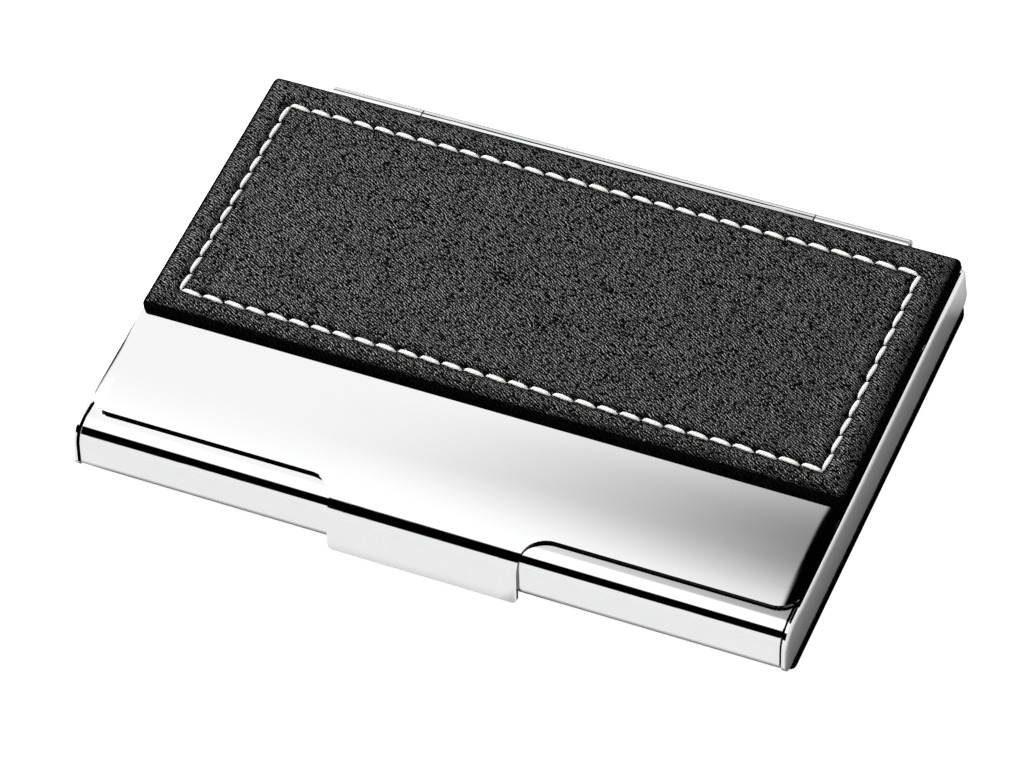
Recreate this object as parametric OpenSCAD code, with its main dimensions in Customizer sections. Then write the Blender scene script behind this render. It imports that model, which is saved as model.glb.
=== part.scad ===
// Business card case: a stamped steel tray and a spring-held lid, each faced with a
// stitched leather panel. Origin under the middle, X along the hinge, Y to the hinge,
// Z up, lid closed.

/* [Case] */
// Width across the side walls
case_w = 94.6; // [90:0.2:104]
// Depth from the front of the thumb tab to the back of the hinge
case_d = 64.2; // [62:0.1:72]
// Height of the top of the steel lid
lid_top = 9.4; // [9:0.1:12]
// Thickness of the sheet steel
sheet = 0.5; // [0.4:0.05:0.6]

/* [Lid] */
// Depth of the bare steel band in front of the top leather
band_d = 16.2; // [12:0.1:24]
// Radius of the lid's front corners
lid_corner_r = 3; // [1:0.25:6]
// How far the lid's edges stay inside the side walls' outer faces
lid_inset = 0.3; // [0.2:0.05:0.4]
// Width of the strip along each side that rolls down
lid_roll_w = 2; // [1:0.25:3]
// Radius of that roll
lid_roll_r = 6; // [5:0.5:10]

/* [Thumb tab] */
// Width of the tab
tab_w = 25.2; // [16:0.2:40]
// How far the tab stands in front of the lid's edge
tab_reach = 5.5; // [5.3:0.1:6]
// Outer radius of the bend over the front roll
tab_bend_r = 3.8; // [3.7:0.1:3.9]
// Lean of the front faces, outwards at the bottom
front_lean = 10; // [4:1:12]
// Height of the tab's lower edge
tab_bottom = 2; // [1.9:0.1:4]
// Radius of the inside corners between tab and lid edge
tab_fillet_r = 3.5; // [1.5:0.25:4]
// Radius of the tab's lower corners
tab_corner_r = 0.5; // [0.3:0.1:1.5]

/* [Base] */
// Thickness of the side walls
wall = 0.6; // [0.5:0.05:0.8]
// How far the side walls stand proud of the front roll
wall_proud = 0.2; // [0.1:0.05:0.4]
// How far the side walls step down under the lid's rolled edges
wall_step = 0.35; // [0.35:0.05:0.5]
// Upper radius of the rolled front
roll_r = 3.3; // [3.1:0.05:3.3]
// Lower radius of the rolled front
roll_foot_r = 1.6; // [1:0.1:2]
// How far the roll stands in front of the lid's edge
roll_reach = 4.35; // [4:0.05:4.4]
// How far the roll's top lip runs back under the lid
lip_back = 2.6; // [1:0.1:5]
// Gap between the ends of the roll and the side walls
roll_seam = 0.3; // [0.2:0.05:0.5]
// Height of the rear wall behind the hinge
rear_wall_top = 6.2; // [4:0.1:6.3]
// Height of the rear wall beside the hinge
rear_end_top = 8.3; // [6:0.1:8.4]

/* [Hinge] */
// Radius of the hinge pin
pin_r = 0.75; // [0.6:0.05:0.75]
// Width of the hinge over both base knuckles
hinge_w = 79; // [60:0.5:84]
// Length of each base knuckle
knuckle_l = 12.5; // [6:0.25:16]
// Radial clearance of the lid's knuckle on the pin
run_gap = 0.06; // [0.03:0.01:0.1]
// Width of the cam tongue and its spring
cam_w = 14; // [8:0.5:24]
// Thickness of the spring strip
spring_t = 0.3; // [0.2:0.05:0.35]

/* [Leather panels] */
// Width of the top panel
top_panel_w = 93.2; // [90:0.2:93.2]
// Depth of the top panel
top_panel_d = 39.8; // [34:0.1:40]
// Thickness of the top panel
top_panel_h = 1.5; // [1.4:0.1:2]
// Thickness of the bottom panel
bottom_panel_h = 2.1; // [1.8:0.1:2.1]
// How far the bottom panel runs in front of the lid's edge
bottom_panel_front = 1.8; // [0:0.1:2]
// Radius of the panels' corners
panel_corner_r = 1.3; // [0.8:0.1:3]
// Thickness of the leather
leather = 0.5; // [0.45:0.05:0.55]
// Thickness of the stiffening board
board = 0.4; // [0.3:0.05:0.4]
// Thickness of the adhesive film
film = 0.1; // [0.05:0.01:0.12]
// Distance of the seam from the panel's edges
seam_inset = 3.6; // [2.5:0.1:5]
// Aim for the length of one stitch
stitch_pitch = 3; // [2.5:0.1:4]
// Radius of the thread
thread_r = 0.24; // [0.16:0.02:0.26]

/* [Hidden] */
$fn = 48;
eps = 0.01;

half_w = case_w / 2;
knuckle_r = pin_r + 0.05 + sheet;
hinge_y = case_d / 2 - knuckle_r;
hinge_z = lid_top - knuckle_r;
lid_edge_y = -case_d / 2 + tab_reach;
panel_front_y = lid_edge_y + band_d;
panel_rear_y = panel_front_y + top_panel_d;
tray_bottom = bottom_panel_h;
tray_floor = tray_bottom + sheet;
lid_under = lid_top - sheet;
roll_top = lid_under - 0.1;
wall_top = roll_top - wall_step;
wall_rear_y = hinge_y - 0.4;
inner_half = half_w - wall;
lid_half = half_w - lid_inset;
lid_rear_y = hinge_y - 1.6;
roll_half = inner_half - roll_seam;
tongue_l = 2.4;

steel = [0.80, 0.81, 0.82];
black_leather = [0.06, 0.06, 0.065];
white_thread = [0.93, 0.93, 0.91];

// ---- shared shapes ----

// A YZ outline drawn as [y, z] and stretched along X from x0 to x1
module along_x(x0, x1) {
    translate([x0, 0, 0]) rotate([90, 0, 90]) linear_extrude(x1 - x0) children();
}

// An outline in [x, z] stretched along Y from y0 to y1
module along_y(y0, y1) {
    translate([0, y1, 0]) rotate([90, 0, 0]) linear_extrude(y1 - y0) children();
}

// An outline in [x, y] stretched up from z0 to z1
module upright(z0, z1) {
    translate([0, 0, z0]) linear_extrude(z1 - z0) children();
}

// A rectangle between two corners
module span(a, b) {
    translate(a) square([b[0] - a[0], b[1] - a[1]]);
}

// A rectangle between two corners with all four corners round
module round_span(a, b, r) {
    span([a[0] + r, a[1]], [b[0] - r, b[1]]);
    span([a[0], a[1] + r], [b[0], b[1] - r]);
    for (x = [a[0] + r, b[0] - r], y = [a[1] + r, b[1] - r])
        translate([x, y]) circle(r);
}

// Side view of a leaning nose: an upper and a lower round joined by a straight flank.
// front is its foremost y, top and bottom its heights, in_by insets the whole outline.
module nose(front, top, bottom, back, in_by) {
    low_c = [front + roll_foot_r, bottom + roll_foot_r];
    high_z = top - roll_r;
    rise = high_z - low_c[1];
    high_y = low_c[0] + (roll_r - roll_foot_r + rise * sin(front_lean)) / cos(front_lean);
    high_c = [high_y, high_z];
    out = [-cos(front_lean), sin(front_lean)];
    translate(high_c) circle(roll_r - in_by);
    translate(low_c) circle(roll_foot_r - in_by);
    polygon([
        high_c, high_c + out * (roll_r - in_by),
        low_c + out * (roll_foot_r - in_by), low_c
    ]);
    span([low_c[0], bottom + in_by], [back, high_c[1]]);
    span([high_c[0], bottom + in_by], [back, top - in_by]);
}

// ---- base ----

module roll_outline(back, in_by) {
    nose(lid_edge_y - roll_reach, roll_top, tray_bottom, back, in_by);
}

// The lip's two ends are notched to clear the lid's rolled sides
module rolled_front() {
    notch_w = 1.2;
    difference() {
        along_x(-roll_half, roll_half) difference() {
            roll_outline(lid_edge_y + lip_back, 0);
            roll_outline(lid_edge_y + lip_back + 1, sheet);
        }
        for (side = [0, 1]) mirror([side, 0, 0])
            upright(roll_top - 2 * sheet, roll_top + 1)
                span([roll_half - notch_w, lid_edge_y + 0.3],
                     [roll_half + 1, lid_edge_y + lip_back + 1]);
    }
}

// As high as the roll in front of the lid, and a step lower under the lid's rolled edge
module side_wall_outline() {
    rear_r = 1.5;
    foot_r = 0.8;
    rear_c = wall_rear_y - rear_r;
    step_y = lid_edge_y + 1.3;
    difference() {
        nose(lid_edge_y - roll_reach - wall_proud, roll_top, tray_bottom, rear_c, 0);
        span([step_y, wall_top], [rear_c + 1, roll_top + 1]);
    }
    span([rear_c - 1, tray_bottom], [wall_rear_y - foot_r, wall_top - rear_r]);
    span([wall_rear_y - foot_r, tray_bottom + foot_r], [wall_rear_y, wall_top - rear_r]);
    translate([rear_c, wall_top - rear_r]) circle(rear_r);
    translate([wall_rear_y - foot_r, tray_bottom + foot_r]) circle(foot_r);
}

// Floor and rear wall are one sheet with a tight bend between them
module floor_and_rear_outline(top) {
    foot_r = 0.8;
    bend_c = [wall_rear_y - foot_r, tray_bottom + foot_r];
    span([lid_edge_y + lip_back - 1, tray_bottom], [bend_c[0], tray_floor]);
    span([wall_rear_y - sheet, bend_c[1]], [wall_rear_y, top]);
    intersection() {
        translate(bend_c) difference() {
            circle(foot_r);
            circle(foot_r - sheet);
        }
        span([bend_c[0], tray_bottom - 1], [wall_rear_y + 1, bend_c[1]]);
    }
}

// A knuckle curled at the top of the rear wall
module base_knuckle(x0, x1) {
    leaf_top = hinge_z - 0.95;
    difference() {
        along_x(x0, x1) {
            translate([hinge_y, hinge_z]) circle(knuckle_r);
            span([wall_rear_y - sheet, rear_wall_top - 1], [wall_rear_y, leaf_top]);
        }
        along_x(x0 - 1, x1 + 1)
            translate([hinge_y, hinge_z]) circle(pin_r + 0.02);
    }
}

module base_shell() color(steel) {
    rolled_front();
    along_x(-inner_half - eps, inner_half + eps) floor_and_rear_outline(rear_wall_top);
    for (side = [0, 1]) mirror([side, 0, 0])
        along_x(hinge_w / 2 + 0.3, inner_half + eps)
            span([wall_rear_y - sheet, rear_wall_top - 1], [wall_rear_y, rear_end_top]);
    front_foot = lid_edge_y - roll_reach + roll_foot_r;
    upright(tray_bottom, tray_floor)
        span([-inner_half - eps, front_foot], [inner_half + eps, lid_edge_y + lip_back]);
    along_x(-half_w, -inner_half) side_wall_outline();
    along_x(inner_half, half_w) side_wall_outline();
    base_knuckle(-hinge_w / 2, -hinge_w / 2 + knuckle_l);
    base_knuckle(hinge_w / 2 - knuckle_l, hinge_w / 2);
}

// ---- hinge ----

module hinge_pin() color([0.7, 0.71, 0.72]) {
    inset = 0.2;
    along_x(-hinge_w / 2 + inset, hinge_w / 2 - inset)
        translate([hinge_y, hinge_z]) circle(pin_r);
}

// Leaf spring welded to the tray floor; its blade stands in front of the lid's cam tongue
module snap_spring() color([0.62, 0.64, 0.66]) {
    blade_rear = hinge_y - 2.85;
    blade_front = blade_rear - spring_t;
    bend_r = 1.2;
    foot_l = 8;
    bend_c = [blade_rear - bend_r, tray_floor + bend_r];
    along_x(-cam_w / 2, cam_w / 2) {
        span([bend_c[0] - foot_l, tray_floor], [bend_c[0], tray_floor + spring_t]);
        span([blade_front, bend_c[1]], [blade_rear, hinge_z - 0.2]);
        intersection() {
            translate(bend_c) difference() {
                circle(bend_r);
                circle(bend_r - spring_t);
            }
            span(bend_c - [0, bend_r + 1], bend_c + [bend_r + 1, 0]);
        }
    }
}

// ---- lid ----

// Section across the lid: flat in the middle, rolled down along both sides
module lid_section() {
    flat_half = lid_half - lid_roll_w;
    span([-flat_half, lid_under], [flat_half, lid_top]);
    for (side = [0, 1]) mirror([side, 0]) intersection() {
        translate([flat_half, lid_top - lid_roll_r]) difference() {
            circle(lid_roll_r, $fn = 96);
            circle(lid_roll_r - sheet, $fn = 96);
        }
        span([flat_half - eps, lid_under - 1], [lid_half, lid_top + 1]);
    }
}

module lid_plan() {
    r = lid_corner_r;
    span([-lid_half, lid_edge_y + r], [lid_half, lid_rear_y]);
    span([-lid_half + r, lid_edge_y], [lid_half - r, lid_edge_y + r + eps]);
    for (side = [-1, 1])
        translate([side * (lid_half - r), lid_edge_y + r]) circle(r);
}

// Side view of the tab: over the bend and down the front
module tab_outline() {
    bend_c = [lid_edge_y - tab_reach + tab_bend_r * cos(front_lean)
        + (lid_top - tab_bend_r + tab_bend_r * sin(front_lean) - tab_bottom) * tan(front_lean),
        lid_top - tab_bend_r];
    out = [-cos(front_lean), sin(front_lean)];
    down = [-sin(front_lean), -cos(front_lean)];
    flank_l = (bend_c[1] + tab_bend_r * sin(front_lean) - tab_bottom) / cos(front_lean) + 1;
    intersection() {
        translate(bend_c) difference() {
            circle(tab_bend_r);
            circle(tab_bend_r - sheet);
        }
        polygon([
            bend_c, bend_c + [0, 9], bend_c + [-9, 9],
            bend_c + out * 9 + down * eps, bend_c + down * eps
        ]);
    }
    polygon([
        bend_c + out * (tab_bend_r - sheet), bend_c + out * tab_bend_r,
        bend_c + out * tab_bend_r + down * flank_l,
        bend_c + out * (tab_bend_r - sheet) + down * flank_l
    ]);
    span([bend_c[0], lid_under], [lid_edge_y + lid_corner_r, lid_top]);
}

module thumb_tab() {
    half = tab_w / 2;
    wide = half + tab_fillet_r;
    ahead = lid_edge_y - tab_reach - 1;
    behind = lid_edge_y + lid_corner_r;
    intersection() {
        along_x(-wide, wide) tab_outline();
        upright(0, lid_top + 1) {
            span([-half, ahead], [half, behind]);
            difference() {
                span([-wide, lid_edge_y - tab_fillet_r], [wide, lid_edge_y]);
                for (side = [-1, 1])
                    translate([side * wide, lid_edge_y - tab_fillet_r]) circle(tab_fillet_r);
            }
        }
        along_y(ahead, behind) {
            round_span([-half, tab_bottom], [half, lid_top + 3], tab_corner_r);
            span([-wide, lid_under - 3], [wide, lid_top + 3]);
        }
    }
}

// The middle knuckle is the plate's own rear edge, curled round the pin
module lid_knuckle() {
    half = hinge_w / 2 - knuckle_l - 0.2;
    along_x(-half, half) {
        translate([hinge_y, hinge_z]) circle(knuckle_r);
        span([lid_rear_y - eps, lid_under], [hinge_y, lid_top]);
    }
    along_x(-cam_w / 2, cam_w / 2)
        span([hinge_y - tongue_l, hinge_z - knuckle_r],
             [hinge_y, hinge_z - knuckle_r + sheet]);
}

module lid_plate() color(steel) difference() {
    union() {
        intersection() {
            along_y(lid_edge_y, lid_rear_y) lid_section();
            upright(lid_under - 1, lid_top + 1) lid_plan();
        }
        thumb_tab();
        lid_knuckle();
    }
    along_x(-hinge_w, hinge_w)
        translate([hinge_y, hinge_z]) circle(pin_r + run_gap);
}

// ---- leather panels ----
// Each panel is built face up on z = 0, hw wide each way and between y0 and y1; the
// bottom one is turned over.

pocket_wall = 0.6;
groove_w = 0.9;
groove_d = 0.3;
seam_channel_top = film + thread_r + 0.04;

function seam_x(hw) = hw - seam_inset;
function seam_count(length) = round(length / stitch_pitch);

// Needle holes round the seam: every corner once, evenly spaced between corners
function seam_holes(hw, y0, y1) = let (
    xs = seam_x(hw), ya = y0 + seam_inset, yb = y1 - seam_inset,
    nx = seam_count(2 * xs), ny = seam_count(yb - ya)
) concat(
    [for (i = [0 : nx - 1]) [-xs + 2 * xs * i / nx, ya]],
    [for (i = [0 : ny - 1]) [xs, ya + (yb - ya) * i / ny]],
    [for (i = [0 : nx - 1]) [xs - 2 * xs * i / nx, yb]],
    [for (i = [0 : ny - 1]) [-xs, yb - (yb - ya) * i / ny]]
);

module drill_seam(hw, y0, y1, r, h) {
    for (p = seam_holes(hw, y0, y1)) translate([p[0], p[1], -1]) cylinder(r = r, h = h + 2, $fn = 16);
}

// The channel that the stitches pull into
module seam_channel(hw, y0, y1, z0, z1) {
    xs = seam_x(hw);
    ya = y0 + seam_inset;
    yb = y1 - seam_inset;
    g = groove_w / 2;
    upright(z0, z1) difference() {
        span([-xs - g, ya - g], [xs + g, yb + g]);
        span([-xs + g, ya + g], [xs - g, yb - g]);
    }
}

module panel_cover(hw, y0, y1, h) color(black_leather) difference() {
    upright(film, h) round_span([-hw, y0], [hw, y1], panel_corner_r);
    upright(film - 1, h - leather)
        span([-hw + pocket_wall, y0 + pocket_wall], [hw - pocket_wall, y1 - pocket_wall]);
    seam_channel(hw, y0, y1, h - groove_d, h + 1);
    drill_seam(hw, y0, y1, thread_r + 0.04, h);
}

module panel_foam(hw, y0, y1, h) color([0.75, 0.75, 0.72]) difference() {
    upright(film + board, h - leather)
        span([-hw + pocket_wall, y0 + pocket_wall], [hw - pocket_wall, y1 - pocket_wall]);
    drill_seam(hw, y0, y1, thread_r + 0.04, h);
}

module panel_board(hw, y0, y1, h) color([0.55, 0.47, 0.36]) difference() {
    upright(film, film + board)
        span([-hw + pocket_wall, y0 + pocket_wall], [hw - pocket_wall, y1 - pocket_wall]);
    seam_channel(hw, y0, y1, film - 1, seam_channel_top);
    drill_seam(hw, y0, y1, thread_r + 0.04, h);
}

module panel_film(hw, y0, y1) color([0.9, 0.88, 0.75]) {
    edge = 1;
    upright(0, film) span([-hw + edge, y0 + edge], [hw - edge, y1 - edge]);
}

// One run of thread round the seam at height z, with a leg from each hole to leg_z
module thread_run(hw, y0, y1, z, leg_z) {
    holes = seam_holes(hw, y0, y1);
    count = len(holes);
    low = min(z, leg_z);
    high = max(z, leg_z);
    for (i = [0 : count - 1]) {
        a = holes[i];
        b = holes[(i + 1) % count];
        along = b - a;
        turn = atan2(along[1], along[0]);
        translate([a[0], a[1], z - thread_r / 2]) rotate([0, 0, turn])
            translate([0, -thread_r, 0]) cube([norm(along), 2 * thread_r, thread_r]);
        translate([a[0], a[1], low]) cylinder(r = thread_r, h = high - low, $fn = 16);
    }
}

module needle_thread(hw, y0, y1, h) color(white_thread)
    thread_run(hw, y0, y1, h - groove_d + thread_r / 2 + 0.02, seam_channel_top + 0.06);

module bobbin_thread(hw, y0, y1) color(white_thread)
    thread_run(hw, y0, y1, film + thread_r / 2 + 0.02, seam_channel_top + 0.02);

bottom_y0 = lid_edge_y - bottom_panel_front;
top_half = top_panel_w / 2;

module on_lid() translate([0, 0, lid_top]) children();

// Turns a face-up panel over so that its film meets the tray's underside
module under_tray() translate([0, 0, tray_bottom]) mirror([0, 0, 1]) children();

module top_leather_cover() on_lid() panel_cover(top_half, panel_front_y, panel_rear_y, top_panel_h);
module top_foam_pad() on_lid() panel_foam(top_half, panel_front_y, panel_rear_y, top_panel_h);
module top_backing_board() on_lid() panel_board(top_half, panel_front_y, panel_rear_y, top_panel_h);
module top_needle_thread() on_lid() needle_thread(top_half, panel_front_y, panel_rear_y, top_panel_h);
module top_bobbin_thread() on_lid() bobbin_thread(top_half, panel_front_y, panel_rear_y);
module top_adhesive_film() on_lid() panel_film(top_half, panel_front_y, panel_rear_y);

module bottom_leather_cover()
    under_tray() panel_cover(half_w, bottom_y0, panel_rear_y, bottom_panel_h);
module bottom_foam_pad() under_tray() panel_foam(half_w, bottom_y0, panel_rear_y, bottom_panel_h);
module bottom_backing_board()
    under_tray() panel_board(half_w, bottom_y0, panel_rear_y, bottom_panel_h);
module bottom_needle_thread()
    under_tray() needle_thread(half_w, bottom_y0, panel_rear_y, bottom_panel_h);
module bottom_bobbin_thread() under_tray() bobbin_thread(half_w, bottom_y0, panel_rear_y);
module bottom_adhesive_film() under_tray() panel_film(half_w, bottom_y0, panel_rear_y);

base_shell();
hinge_pin();
snap_spring();
lid_plate();
top_leather_cover();
top_foam_pad();
top_backing_board();
top_needle_thread();
top_bobbin_thread();
top_adhesive_film();
bottom_leather_cover();
bottom_foam_pad();
bottom_backing_board();
bottom_needle_thread();
bottom_bobbin_thread();
bottom_adhesive_film();
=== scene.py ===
"""Business card case: polished steel tray and sprung lid, each faced with stitched leather."""

import math

import bmesh
import bpy
from mathutils import Matrix, Vector


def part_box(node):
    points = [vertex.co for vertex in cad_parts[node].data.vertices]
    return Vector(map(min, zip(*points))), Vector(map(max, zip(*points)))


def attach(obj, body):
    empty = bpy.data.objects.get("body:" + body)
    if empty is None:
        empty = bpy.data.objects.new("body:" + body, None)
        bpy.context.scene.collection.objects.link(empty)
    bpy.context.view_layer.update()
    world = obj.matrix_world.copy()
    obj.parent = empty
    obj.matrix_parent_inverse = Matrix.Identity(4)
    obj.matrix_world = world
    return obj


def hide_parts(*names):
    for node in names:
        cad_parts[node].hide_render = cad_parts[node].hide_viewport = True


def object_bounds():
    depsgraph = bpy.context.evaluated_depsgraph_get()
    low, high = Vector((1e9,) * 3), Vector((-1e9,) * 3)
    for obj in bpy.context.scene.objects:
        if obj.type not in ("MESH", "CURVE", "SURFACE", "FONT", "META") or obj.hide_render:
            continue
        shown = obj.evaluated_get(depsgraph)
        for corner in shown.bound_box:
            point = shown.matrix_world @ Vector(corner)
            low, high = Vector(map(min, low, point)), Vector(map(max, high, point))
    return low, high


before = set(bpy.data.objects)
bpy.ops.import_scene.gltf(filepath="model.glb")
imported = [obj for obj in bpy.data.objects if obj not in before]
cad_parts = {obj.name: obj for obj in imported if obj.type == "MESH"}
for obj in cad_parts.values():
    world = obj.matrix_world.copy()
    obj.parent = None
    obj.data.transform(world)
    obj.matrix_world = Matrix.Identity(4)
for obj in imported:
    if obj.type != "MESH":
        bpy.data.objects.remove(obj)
cad_low, cad_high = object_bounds()

MM = 0.001


# ---------------------------------------------------------------- camera
# A long lens from above and to the right of the front, turned a few degrees on its axis.
view_turn = math.radians(29.12)
view_height = math.radians(50.75)
view_roll = math.radians(-7.65)
view_distance = 0.6862
view_centre = Vector((0.00293, -0.00104, 0.005))

back = Vector((
    math.sin(view_turn) * math.cos(view_height),
    -math.cos(view_turn) * math.cos(view_height),
    math.sin(view_height),
))
level = Vector((math.cos(view_turn), math.sin(view_turn), 0))
upward = back.cross(level)
right = level * math.cos(view_roll) + upward * math.sin(view_roll)
upright = upward * math.cos(view_roll) - level * math.sin(view_roll)

camera_data = bpy.data.cameras.new("camera")
camera_data.sensor_width = 36
camera_data.lens = 195.3
camera_data.shift_x = -0.02835
camera_data.shift_y = -0.0035
camera_data.clip_start = 0.01
camera_data.clip_end = 50
camera = bpy.data.objects.new("camera", camera_data)
camera.matrix_world = Matrix.Translation(view_centre + back * view_distance) @ Matrix((
    (right.x, upright.x, back.x, 0),
    (right.y, upright.y, back.y, 0),
    (right.z, upright.z, back.z, 0),
    (0, 0, 0, 1),
))
bpy.context.scene.collection.objects.link(camera)
bpy.context.scene.camera = camera


# ---------------------------------------------------------------- studio
# Soft light from overhead, a graded screen at the rear that falls from white on the left
# to black on the right, a small strong key light on the left, and black flags in front.
# Polished steel only reads as steel when it has something dark to mirror.
over_light = 1.3
rear_light = 1.1
front_light = 1.0
side_light = 0.9
key_light = 8.6
table_white = (0.85, 0.85, 0.85, 1)
painted_shade_grey = (0.40, 0.40, 0.40, 1)
table_glow = 0.96


def put(tree, kind, inputs=None, **settings):
    """Add one shader node. An input is a plain value, or a socket to link from."""
    made = tree.nodes.new(kind)
    for name, value in settings.items():
        setattr(made, name, value)
    for name, value in (inputs or {}).items():
        if isinstance(value, bpy.types.NodeSocket):
            tree.links.new(value, made.inputs[name])
        else:
            made.inputs[name].default_value = value
    return made


def maths(tree, operation, first, second=0.0):
    """One sum of two values or sockets."""
    return put(tree, "ShaderNodeMath", {0: first, 1: second}, operation=operation).outputs[0]


def ramp(tree, value, start, end, low=0.0, high=1.0):
    """Smooth step of a value between two limits, from low to high."""
    return put(tree, "ShaderNodeMapRange", {
        "Value": value, "From Min": start, "From Max": end, "To Min": low, "To Max": high,
    }, interpolation_type="SMOOTHSTEP").outputs["Result"]


world = bpy.data.worlds.new("tent")
world.use_nodes = True
sky = world.node_tree
sky.nodes.clear()
direction = put(sky, "ShaderNodeTexCoord").outputs["Generated"]
axes = put(sky, "ShaderNodeSeparateXYZ", {0: direction})
to_right, to_back, height = axes.outputs[0], axes.outputs[1], axes.outputs[2]


def both(*masks):
    """Product of masks."""
    total = masks[0]
    for mask in masks[1:]:
        total = maths(sky, "MULTIPLY", total, mask)
    return total


def without(light, mask):
    """Light that is left where a flag stands."""
    return maths(sky, "MULTIPLY", light, maths(sky, "SUBTRACT", 1.0, mask))


def blend(low, high, mask):
    """One light where the mask is 0, another where it is 1."""
    change = maths(sky, "MULTIPLY", maths(sky, "SUBTRACT", high, low), mask)
    return maths(sky, "ADD", low, change)


# The rear screen: dimmest on a level line, a little brighter above and below it
off_line = maths(sky, "ABSOLUTE", maths(sky, "SUBTRACT", height, 0.802))
aside = maths(sky, "SUBTRACT", to_right, maths(sky, "MULTIPLY", off_line, 0.5))
screen = maths(sky, "MULTIPLY", ramp(sky, aside, -0.205, -0.355), rear_light)
low_rear = both(ramp(sky, height, 0.70, 0.65), ramp(sky, to_right, -0.46, -0.41))
low_left = both(ramp(sky, height, 0.50, 0.42), ramp(sky, to_right, -0.50, -0.60))
screen = without(without(screen, low_rear), low_left)
screen = blend(screen, side_light, both(ramp(sky, height, 0.56, 0.48),
                                        ramp(sky, to_right, -0.50, -0.42)))
early = both(ramp(sky, to_back, 0.52, 0.34), ramp(sky, to_right, -0.10, -0.22))
light = blend(screen, over_light, maths(sky, "MAXIMUM", ramp(sky, to_back, 0.40, 0.26), early))
# In front: a low white card, a black flag above it and a smaller one to its right.
# At the right a low card, and on the left the key light's small box.
low_card = both(ramp(sky, to_back, 0.1, -0.1), ramp(sky, height, 0.44, 0.41))
front_flag = both(ramp(sky, height, 0.41, 0.44), ramp(sky, height, 0.87, 0.84),
                  ramp(sky, to_back, -0.1, -0.3))
right_flag = both(ramp(sky, height, 0.80, 0.72), ramp(sky, to_right, 0.20, 0.34),
                  ramp(sky, to_back, -0.6, -0.5))
side_card = both(ramp(sky, to_right, 0.5, 0.65), ramp(sky, height, 0.42, 0.30))
key_box = both(ramp(sky, to_right, -0.43, -0.50), ramp(sky, to_right, -0.90, -0.80),
               ramp(sky, to_back, 0.48, 0.42), ramp(sky, to_back, -0.24, -0.18),
               ramp(sky, height, 0.50, 0.58))
light = blend(light, front_light, low_card)
light = without(without(light, front_flag), right_flag)
light = blend(light, side_light, side_card)
light = blend(light, key_light, key_box)
seen = put(sky, "ShaderNodeLightPath").outputs["Is Camera Ray"]
glow = put(sky, "ShaderNodeBackground", {
    "Color": (1, 1, 1, 1), "Strength": maths(sky, "MAXIMUM", light, seen)})
put(sky, "ShaderNodeOutputWorld", {"Surface": glow.outputs[0]})
bpy.context.scene.world = world
bpy.context.scene.view_settings.view_transform = "Standard"


def material(name):
    """A fresh material with its Principled shader and output."""
    made = bpy.data.materials.new(name)
    made.use_nodes = True
    tree = made.node_tree
    tree.nodes.clear()
    skin = put(tree, "ShaderNodeBsdfPrincipled")
    put(tree, "ShaderNodeOutputMaterial", {"Surface": skin.outputs[0]})
    return made, tree, skin


def feed(tree, skin, **inputs):
    """Set or link sockets of the Principled shader by name, spaces as underscores."""
    for name, value in inputs.items():
        socket = skin.inputs[name.replace("_", " ")]
        if isinstance(value, bpy.types.NodeSocket):
            tree.links.new(value, socket)
        else:
            socket.default_value = value


def finished(shape, name, finish, smooth_below=20):
    """Turn a bmesh drawn in millimetres into a shaded object in metres."""
    bmesh.ops.scale(shape, vec=(MM, MM, MM), verts=shape.verts)
    mesh = bpy.data.meshes.new(name)
    shape.to_mesh(mesh)
    shape.free()
    mesh.materials.append(finish)
    mesh.polygons.foreach_set("use_smooth", [True] * len(mesh.polygons))
    mesh.set_sharp_from_angle(angle=math.radians(smooth_below))
    made = bpy.data.objects.new(name, mesh)
    bpy.context.scene.collection.objects.link(made)
    return made


table_finish, tree, skin = material("table_top")
seen = put(tree, "ShaderNodeLightPath").outputs["Is Camera Ray"]
place = put(tree, "ShaderNodeTexCoord").outputs["Object"]
apart = put(tree, "ShaderNodeSeparateXYZ", {0: place})
# Painted shade: the table is grey close behind and beside the case and white in front of it and
# further out to the sides, so the steel mirrors a shadow there; the camera sees only the white glow
in_front = ramp(tree, apart.outputs[1], -0.031, -0.036)
beside = ramp(tree, maths(tree, "ABSOLUTE", apart.outputs[0]), 0.0475, 0.054)
card = put(tree, "ShaderNodeMix", {
    "Factor": maths(tree, "MAXIMUM", in_front, beside), 6: painted_shade_grey, 7: table_white},
    data_type="RGBA").outputs[2]
feed(tree, skin, Base_Color=card, Roughness=0.8, Specular_IOR_Level=0.1,
     Emission_Color=(1, 1, 1, 1), Emission_Strength=maths(tree, "MULTIPLY", seen, table_glow))
shape = bmesh.new()
bmesh.ops.create_grid(shape, x_segments=1, y_segments=1, size=4000)
bmesh.ops.translate(shape, verts=shape.verts, vec=(0, 0, cad_low.z / MM - 0.02))
table = finished(shape, "table_top", table_finish)


# ---------------------------------------------------------------- polished steel tray
# One sheet of stainless steel, 0.5 mm thick: its lip rolls over the front, runs back as
# the floor and turns up at the rear. Two side walls with rounded shoulders close it.
sheet = 0.5
steel_colour = (0.83, 0.83, 0.835, 1)
tray_low, tray_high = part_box("base_shell")
pin_low, pin_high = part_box("hinge_pin")
lid_low, lid_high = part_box("lid_plate")

half_case = tray_high.x / MM
floor_under = tray_low.z / MM
wall_step = 0.35
wall_front = tray_low.y / MM
pin_y = (pin_low.y + pin_high.y) / 2 / MM
pin_z = (pin_low.z + pin_high.z) / 2 / MM
knuckle_radius = 1.3
lid_top = lid_high.z / MM
half_inside = half_case - 0.6
front_lean = 10
nose_radius, heel_radius = 2.9, 1.6
rear_radius = 1.5
rear_face = pin_y - 0.4


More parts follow.
